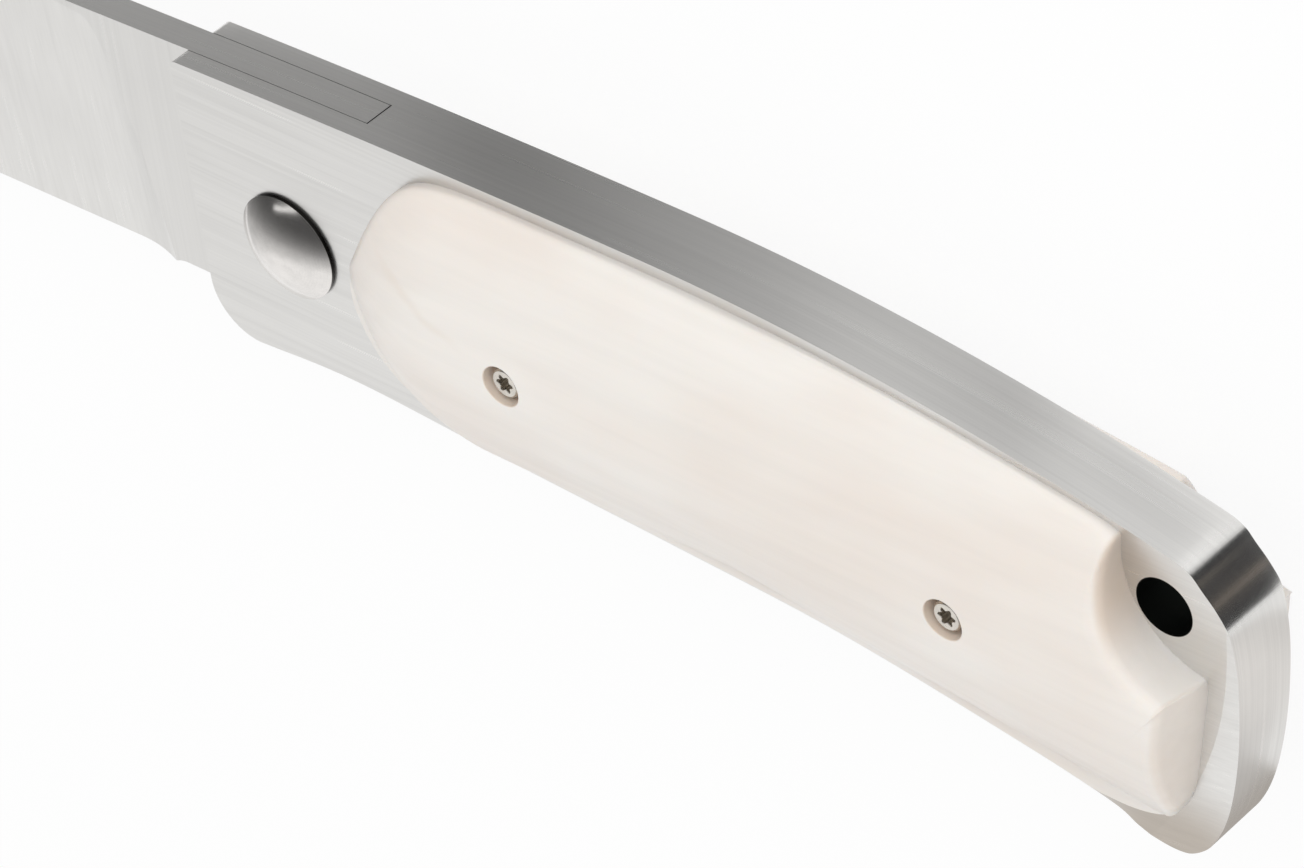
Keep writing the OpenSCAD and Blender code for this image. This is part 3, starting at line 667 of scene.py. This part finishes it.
# %% [markdown]
# The crown is what a ball leaves that is rolled along a line: its height over a point
# depends only on how far the point is from that line. The line runs level from near
# the front and bends a little towards the beak. The rim is rounded by dropping the
# surface by a quarter circle over the last millimetre, or less where the scale is
# thin. The tail end leans forward, so what would stand behind its plane is moved
# onto it.

# %% Crown of a scale
scale_t, crown_r, edge_t = 4.8, 19.0, 0.4
crown_bend, crown_front, crown_turn = np.array([-38.0, -2.6]), -62.2, np.radians(6.2)
crown_fall = np.array([np.cos(crown_turn), -np.sin(crown_turn)])


def crown_height(places):
    """Thickness of the bone: t - R + root(R squared - distance squared), at least the edge."""
    run = places - crown_bend
    nearest = np.clip(run[..., 0], crown_front - crown_bend[0], 0)
    to_level = (run[..., 0] - nearest) ** 2 + run[..., 1] ** 2
    along = np.maximum(run @ crown_fall, 0)
    to_fall = ((run - along[..., None] * crown_fall) ** 2).sum(axis=-1)
    squared = np.minimum(to_level, to_fall)
    return np.maximum(scale_t - crown_r + np.sqrt(np.maximum(crown_r ** 2 - squared, 0)), edge_t)


def lean(places, rise):
    """Places moved forward onto the leaning plane of the tail end at a given rise."""
    behind = (places - tail_point) @ tail_away + rise * tail_lean
    return places - np.maximum(behind, 0)[..., None] * tail_away


print("crown", crown_height(np.array([-50.0, -2.6])).round(2), "mm, upper edge",
      crown_height(np.array([-50.0, 9.2])).round(2), "mm")

# %% [markdown]
# The rows of the onion follow. On the inner rows two holes are left for the screws. A
# hole takes out a block of squares, and a tube of rows closes it: from the block's
# border in to the counterbore, down its wall, in to the shank, through the bone, and
# out to the block's border on the back.

# %% Rows of a scale
rim_share, rim_least, rim_most, rim_angle = 0.45, 0.15, 1.0, np.radians(60)
wall_rows, round_rows, inner_rows = 4, 6, 26
slope_least, reach_most = 0.45, 0.5
counterbore_r, shank_r, hole_round, seat_rise = 1.65, 0.85, 0.12, 3.15
block_share, flat_rows, edge_rows = 1.45, 8, 5


def scale_rows():
    """All rows from the middle of the back, round the rim, to the middle of the crown."""
    height = crown_height(outline)
    radius = np.clip(rim_share * height, rim_least, rim_most)
    top = lean(outline, height - radius)
    to_middle = inner_line - top
    length = np.linalg.norm(to_middle, axis=1)
    tangent = np.roll(top, -1, axis=0) - np.roll(top, 1, axis=0)
    inward = np.stack([-tangent[:, 1], tangent[:, 0]], axis=1)
    inward /= np.linalg.norm(inward, axis=1, keepdims=True)
    slope = np.clip((to_middle / length[:, None] * inward).sum(axis=1), slope_least, 1.0)
    turn = np.linspace(0, np.pi / 2, round_rows)[1:, None]
    reach = np.minimum(radius * (1 - np.cos(turn)) / slope / length, reach_most)
    inner = reach[-1] + (1 - reach[-1]) * np.linspace(0, 1, inner_rows)[:, None]
    back = np.vstack([top + to_middle * inner[::-1, :, None], outline[None]])
    rows = [np.dstack([back, np.full(back.shape[:2], face_z)])]
    for share in np.linspace(0, 1, wall_rows)[1:]:
        rise = share * (height - radius)
        rows.append(np.dstack([lean(outline, rise)[None], (face_z + rise)[None]]))
    over = top + to_middle * reach[..., None]
    rows.append(np.dstack([over, face_z + crown_height(over) - radius * (1 - np.sin(turn))]))
    crown = top + to_middle * inner[1:, :, None]
    rows.append(np.dstack([crown, face_z + crown_height(crown)]))
    return np.vstack(rows)


def hole_block(grid, centre):
    """First and last row and column of the squares on the crown round a hole."""
    first = len(grid) - inner_rows
    near = np.linalg.norm(grid[first:, :, :2] - centre, axis=2) < counterbore_r * block_share
    rows, columns = np.nonzero(near.any(axis=1))[0], np.nonzero(near.any(axis=0))[0]
    return first + rows[0] - 1, first + rows[-1] + 1, columns[0] - 1, columns[-1] + 1


def hole_tube(grid, block, centre):
    """Rows of a hole: in over the crown, round its edge, down, in, down, and back out."""
    top, bottom, left, right = block
    part = grid[top:bottom + 1, left:right + 1]
    edge = np.ones(part.shape[:2], dtype=bool)
    edge[1:-1, 1:-1] = False
    start = part[edge]
    away = start[:, :2] - centre
    order = np.argsort(np.arctan2(away[:, 1], away[:, 0]))
    start, away = start[order], away[order]
    reach = np.linalg.norm(away, axis=1, keepdims=True)
    ray = away / reach
    share = np.linspace(0, 1, flat_rows)[1:, None, None]
    turn = np.linspace(0, np.pi / 2, edge_rows)[1:, None, None]
    flat_ring = centre + ray * (reach * (1 - share) + (counterbore_r + hole_round) * share)
    edge_ring = centre + ray * (counterbore_r + hole_round * (1 - np.sin(turn)))
    drop = hole_round * (1 - np.cos(turn[..., 0]))
    rows = [start[None], np.dstack([flat_ring, face_z + crown_height(flat_ring)])]
    rows.append(np.dstack([edge_ring, face_z + crown_height(edge_ring) - drop]))
    for radius, rise in ((counterbore_r, seat_rise), (shank_r, seat_rise), (shank_r, 0.0)):
        height = np.full(len(ray), face_z + rise)
        rows.append(np.column_stack([centre + ray * radius, height])[None])
    rows.append(np.column_stack([start[:, :2], np.full(len(ray), face_z)])[None])
    return np.vstack(rows)


def scale_grids(side):
    """The onion without its blocks and a tube for each hole; side -1 mirrors them."""
    grid = scale_rows()
    rows, columns = grid.shape[:2]
    keep = np.ones((rows - 1, columns), dtype=bool)
    tubes = []
    for centre in np.array(screws_at):
        block = top, bottom, left, right = hole_block(grid, centre)
        keep[top:bottom, left:right] = False
        keep[rows - 1 - bottom:rows - 1 - top, left:right] = False
        tubes.append(hole_tube(grid, block, centre))
    grids = [(grid.reshape(-1, 3), squares_of(rows, columns)[keep.reshape(-1)])]
    grids += [(tube.reshape(-1, 3), squares_of(*tube.shape[:2])) for tube in tubes]
    return [on_side(side, *each) for each in grids]


for side, word in ((1, "near"), (-1, "far")):
    make_piece(word + "_bone_scale", scale_grids(side), bone, "handle", word + "_scale",
               rim_angle)

# %% [markdown]
# ## Domes and screws
#
# A turned piece is a profile spun round an axis. Blender's Spin or Screw tool would do
# it, but a screw's socket isn't round, so the spin is worked out as a grid: each row
# has a height and a radius, and the radius may change with the angle. A six-lobed
# socket is a circle whose radius swells six times, and a hex socket is a circle cut
# flat six times. The profile runs from the axis to the axis, so the piece is closed.

# %% Turned pieces
turn_steps = 144
angles = np.arange(turn_steps) * 2 * np.pi / turn_steps


def spun(profile, centre, side=1):
    """A grid from (radius, height) rows, each a number or one for every angle."""
    radius = np.stack([np.broadcast_to(r, turn_steps) for r, _ in profile])
    height = np.stack([np.broadcast_to(z, turn_steps) for _, z in profile])
    x, y = centre[0] + radius * np.cos(angles), centre[1] + radius * np.sin(angles)
    points = np.dstack([x, y, height]).reshape(-1, 3)
    return on_side(side, points, squares_of(len(profile), turn_steps))


def lobed(middle, swell):
    """A circle that swells and shrinks six times: radius = middle + swell cos(6 angle)."""
    return middle + swell * np.cos(6 * angles)


def hexed(corner):
    """A hexagon: radius = half width / cos(angle from the middle of the nearest flat)."""
    return corner * np.cos(np.pi / 6) / np.cos(np.mod(angles, np.pi / 3) - np.pi / 6)


star = lobed(middle=0.62, swell=0.13)
print("a lobed socket is", round(2 * float(star.max()), 2), "mm over its points")

# %% [markdown]
# The near head belongs to the pivot tube and the far head to the screw inside it. The
# dome is part of a ball, so its height follows from the root formula, and its rim has
# a short straight edge that stands on the steel. That foot is painted dark as painted
# shade, and so draws the fine line round the dome.

# %% Pivot heads
dome_r, dome_h, dome_edge, foot_chamfer, dome_steps = 4.4, 1.8, 0.3, 0.03, 22
ball_r = (dome_r ** 2 + (dome_h - dome_edge) ** 2) / (2 * (dome_h - dome_edge))
tube_r, tube_bore, tube_end, tube_floor = 2.5, 1.55, -2.85, 2.35
pin_r, pin_end, pin_chamfer = 1.5, -1.55, 0.1
hex_socket, hex_depth, hex_widening, hex_chamfer = hexed(1.45), 1.3, 1.06, 0.08


def dome_height(radius):
    """Height of the dome over the plate: part of a ball on a short straight edge."""
    return face_z + dome_h - ball_r + np.sqrt(ball_r ** 2 - np.square(radius))


def dome_rows(inner):
    """Rows up the dome from its rim to an inner radius."""
    rows = [(dome_r - foot_chamfer, face_z), (dome_r, face_z + foot_chamfer)]
    for share in np.linspace(0, 1, dome_steps):
        radius = dome_r * (1 - share) + inner * share
        rows.append((radius, dome_height(radius)))
    return rows


barrel_profile = [
    (0, tube_floor), (tube_bore, tube_floor), (tube_bore, tube_end), (tube_r, tube_end),
    (tube_r, face_z), *dome_rows(0)]
hex_floor = face_z + dome_h - hex_depth
screw_profile = [
    (0, pin_end), (pin_r - pin_chamfer, pin_end), (pin_r, pin_end + pin_chamfer), (pin_r, face_z),
    *dome_rows(hex_socket * hex_widening),
    (hex_socket, dome_height(hex_socket) - hex_chamfer), (hex_socket, hex_floor), (0, hex_floor)]
make_piece("near_pivot_dome", [spun(barrel_profile, pivot_at)], polished_steel,
           "handle", "pivot_barrel")
make_piece("far_pivot_dome", [spun(screw_profile, pivot_at, -1)], polished_steel,
           "handle", "pivot_screw")

# %% [markdown]
# The scale screws sit below the crown in their counterbores. Their heads have a small
# chamfer at the edge, which shows as a bright ring, and the dark six-lobed star.

# %% Scale screws
head_r, head_top, head_h, screw_r, shank_end = 1.2, face_z + 4.35, 1.2, 0.8, 1.32
head_chamfer, shank_chamfer, star_chamfer = 0.14, 0.1, 0.05
star_depth, star_cone = 0.84, 0.1


def screw_profile_rows():
    """A screw from the end of its shank to the floor of its star."""
    seat = head_top - head_h
    return [
        (0, shank_end), (screw_r - shank_chamfer, shank_end), (screw_r, shank_end + shank_chamfer),
        (screw_r, seat), (head_r, seat), (head_r, head_top - head_chamfer),
        (head_r - head_chamfer, head_top), (star + star_chamfer, head_top),
        (star, head_top - star_chamfer), (star, head_top - star_depth),
        (0, head_top - star_depth - star_cone),
    ]


for side, word in ((1, "near"), (-1, "far")):
    turned = [spun(screw_profile_rows(), centre, side) for centre in screws_at]
    make_piece(word + "_bone_screws", turned, screw_steel, "handle", word + "_scale_screws")

# %% [markdown]
# ## Floor and cards
#
# The floor is white paper. A product photographer lays cards round shiny steel, so
# that its edges don't vanish into the white. Here the cards are seen only by
# reflections. The steel spine mirrors the floor behind it, where a long card runs
# from dark at the blade to white at the butt. Close to the knife the card is darker,
# so the spine darkens towards its far side. The rounded butt mirrors a black card
# with a brown gap in it, and the butt's end and the beak mirror two lighter ones.

# %% Floor and cards
floor_level, floor_half, floor_glow = float(cad_box[0][2]), 1.5, 0.9
card_level, card_step = floor_level + 0.0004, 0.0001


def card(name, corners, material, hidden=True):
    """A flat card through its corners in metres; a hidden one shows only in reflections."""
    mesh = bpy.data.meshes.new(name)
    mesh.from_pydata(corners, [], [tuple(range(len(corners)))])
    mesh.materials.append(material)
    piece = bpy.data.objects.new(name, mesh)
    bpy.context.collection.objects.link(piece)
    if hidden:
        piece.visible_camera = piece.visible_diffuse = piece.visible_shadow = False
        piece.visible_transmission = piece.visible_volume_scatter = False
    return piece


def floor_material():
    """White paper that glows a little for camera and reflections, so that it stays white."""
    material, shader = new_material("floor_white", (0.9, 0.9, 0.9), 0.0, 0.9)
    path = add(material, "ShaderNodeLightPath")
    seen = sum_up(material, "MAXIMUM", path.outputs["Is Camera Ray"], path.outputs["Is Glossy Ray"])
    share = sum_up(material, "MULTIPLY", seen, floor_glow)
    glow = add_with(material, "ShaderNodeEmission", (1.0, 1.0, 1.0), 1.0)
    both = add_with(material, "ShaderNodeMixShader", share, shader.outputs[0], glow.outputs[0])
    join(material, both.outputs[0], material.node_tree.nodes["Material Output"].inputs["Surface"])
    return material


def glow_material(name, colour):
    """A material that glows in one colour, or in a colour that is worked out by nodes."""
    material = bpy.data.materials.new(name)
    material.use_nodes = True
    material.node_tree.nodes.remove(material.node_tree.nodes["Principled BSDF"])
    if callable(colour):
        colour = colour(material)
    glow = add_with(material, "ShaderNodeEmission", colour, 1.0)
    join(material, glow.outputs[0], material.node_tree.nodes["Material Output"].inputs["Surface"])
    return material


def tones_along(axis, start, end, stops, tint=(1.0, 1.0, 1.0)):
    """Greys along one axis of a card, as (place in metres, grey) from start to end."""
    def colour(material):
        """The tinted greys as nodes of a material."""
        share = add(material, "ShaderNodeMapRange")
        share.inputs["From Min"].default_value, share.inputs["From Max"].default_value = start, end
        join(material, parts_of(material, place_on(material))[axis], share.inputs["Value"])
        greys = [((place - start) / (end - start), [c * grey for c in tint])
                 for place, grey in stops]
        return ramp(material, share.outputs["Result"], greys)
    return colour


tones_down_spine = tones_along("X", -0.11, 0.0, [
    (-0.098, 0.37), (-0.082, 0.35), (-0.077, 0.29), (-0.071, 0.235), (-0.065, 0.245),
    (-0.055, 0.35), (-0.045, 0.44), (-0.040, 0.51), (-0.035, 0.61), (-0.030, 0.67),
    (-0.025, 0.66), (-0.018, 0.62), (-0.012, 0.80)])
tones_over_spine = tones_along("Y", 0.012, 0.022, [(0.012, 0.78), (0.022, 1.0)])
butt_tones = tones_along("Y", -0.03, -0.006, [
    (-0.030, 0.54), (-0.027, 0.58), (-0.024, 0.66), (-0.021, 0.76), (-0.018, 0.84),
    (-0.012, 0.86), (-0.006, 0.70)], (1.0, 0.975, 0.955))


def spine_tones(material):
    """Greys down the length of the spine, a little darker towards its far side."""
    return mix(material, 1.0, tones_down_spine(material), tones_over_spine(material), "MULTIPLY")


def floor_card(name, corners, colour, height=card_level):
    """A hidden card that lies just over the floor."""
    return card(name, [(x, y, height) for x, y in corners], glow_material(name + "_tone", colour))


floor_corners = [(x * floor_half, y * floor_half, floor_level)
                 for x, y in ((-1, -1), (1, -1), (1, 1), (-1, 1))]
card("floor", floor_corners, floor_material(), hidden=False)
cards = [
    floor_card("spine_card", [(-0.2, 0.0125), (0.0, 0.0125), (0.0, 0.09), (-0.2, 0.09)],
               spine_tones),
    floor_card("butt_card", [(0.008, -0.08), (0.06, -0.08), (0.06, -0.006), (0.008, -0.006)],
               butt_tones),
    floor_card("beak_card", [(-0.03, -0.08), (0.008, -0.08), (0.008, -0.0235), (-0.03, -0.0235)],
               (0.54, 0.515, 0.49)),
    floor_card("bend_card", [(0.0050, 0.0068), (0.0125, -0.0012), (0.09, -0.0012), (0.056, 0.09)],
               (0.045, 0.045, 0.046), card_level + card_step),
    floor_card("bend_gap", [(0.0090, 0.0048), (0.0098, 0.0036), (0.0230, 0.0088), (0.0225, 0.0118)],
               (0.21, 0.18, 0.155), card_level + 2 * card_step),
]
print("floor at", round(floor_level / MM, 2), "mm, cards:", len(cards))

# %% [markdown]
# ## World and lamp
#
# For matt surfaces the world is an even white tent, a little darker at the horizon. A
# mirror shows more of a studio than that, and the dome in the photograph shows it
# all: bright low down beyond the knife, dark overhead, and one narrow bright window.
# So reflections get a sky of their own, whose tone depends on the angle from its
# bright side. Behind the camera, where the photograph's mirrors don't look, it is
# grey, so that the steel isn't black from other sides. One large soft lamp gives the
# bone its form. It is kept out of reflections, because the sky already holds the
# window.

# %% World and lamp
tent_tones = [(0.0, 0.75), (0.42, 0.92)]
bright_side = (-0.18, -0.955, 0.235)
sky_tones = [
    (-1.0, 0.6), (-0.5, 0.45), (-0.2, 0.1), (0.0, 0.07), (0.18, 0.08), (0.31, 0.13), (0.41, 0.2),
    (0.5, 0.3), (0.57, 0.45), (0.71, 0.70), (0.80, 0.98)]
window_middle, window_across = (-0.389, 0.350, 0.854), (-0.251, 0.851, -0.463)
window_ends, window_sides, window_tone = (0.93, 0.965), (0.055, 0.02), 1.3
lamp_place, lamp_target, lamp_size, lamp_power = (0.3, 0.75, 0.38), (-0.04, 0, 0), 0.5, 2.25


def towards(world, direction, fixed):
    """How nearly a direction is a fixed one: 1 the same, 0 square to it, -1 opposite."""
    product = add_with(world, "ShaderNodeVectorMath", direction, fixed, operation="DOT_PRODUCT")
    return product.outputs["Value"]


def make_world():
    """An even tent, another sky for reflections, and plain white for the camera."""
    world = bpy.data.worlds.new("studio")
    bpy.context.scene.world = world
    world.use_nodes = True
    direction = add(world, "ShaderNodeTexCoord").outputs["Generated"]
    tent = ramp(world, parts_of(world, direction)["Z"], tent_tones)
    share = sum_up(world, "MULTIPLY_ADD", towards(world, direction, bright_side), 0.5, 0.5)
    sky = ramp(world, share, [((place + 1) / 2, tone) for place, tone in sky_tones])
    beside = sum_up(world, "ABSOLUTE", towards(world, direction, window_across))
    along = fade(world, towards(world, direction, window_middle), *window_ends)
    window = sum_up(world, "MULTIPLY", fade(world, beside, *window_sides), along)
    sky = mix(world, window, sky, window_tone)
    path = add(world, "ShaderNodeLightPath").outputs
    colour = mix(world, path["Is Camera Ray"], mix(world, path["Is Glossy Ray"], tent, sky), 1.0)
    join(world, colour, world.node_tree.nodes["Background"].inputs["Color"])
    return world


def soft_lamp(name, place, target, size, power):
    """A square lamp that looks from its place at a target and doesn't show in gloss."""
    light = bpy.data.lights.new(name, "AREA")
    light.size, light.energy = size, power
    lamp = bpy.data.objects.new(name, light)
    lamp.location = place
    lamp.rotation_mode = "QUATERNION"
    lamp.rotation_quaternion = (Vector(target) - Vector(place)).to_track_quat("-Z", "Y")
    lamp.visible_glossy = False
    bpy.context.collection.objects.link(lamp)
    return lamp


studio = make_world()
lamp = soft_lamp("key_lamp", lamp_place, lamp_target, lamp_size, lamp_power)
bpy.context.scene.view_settings.view_transform = "Standard"
print("lit by", studio.name, "and", lamp.name)
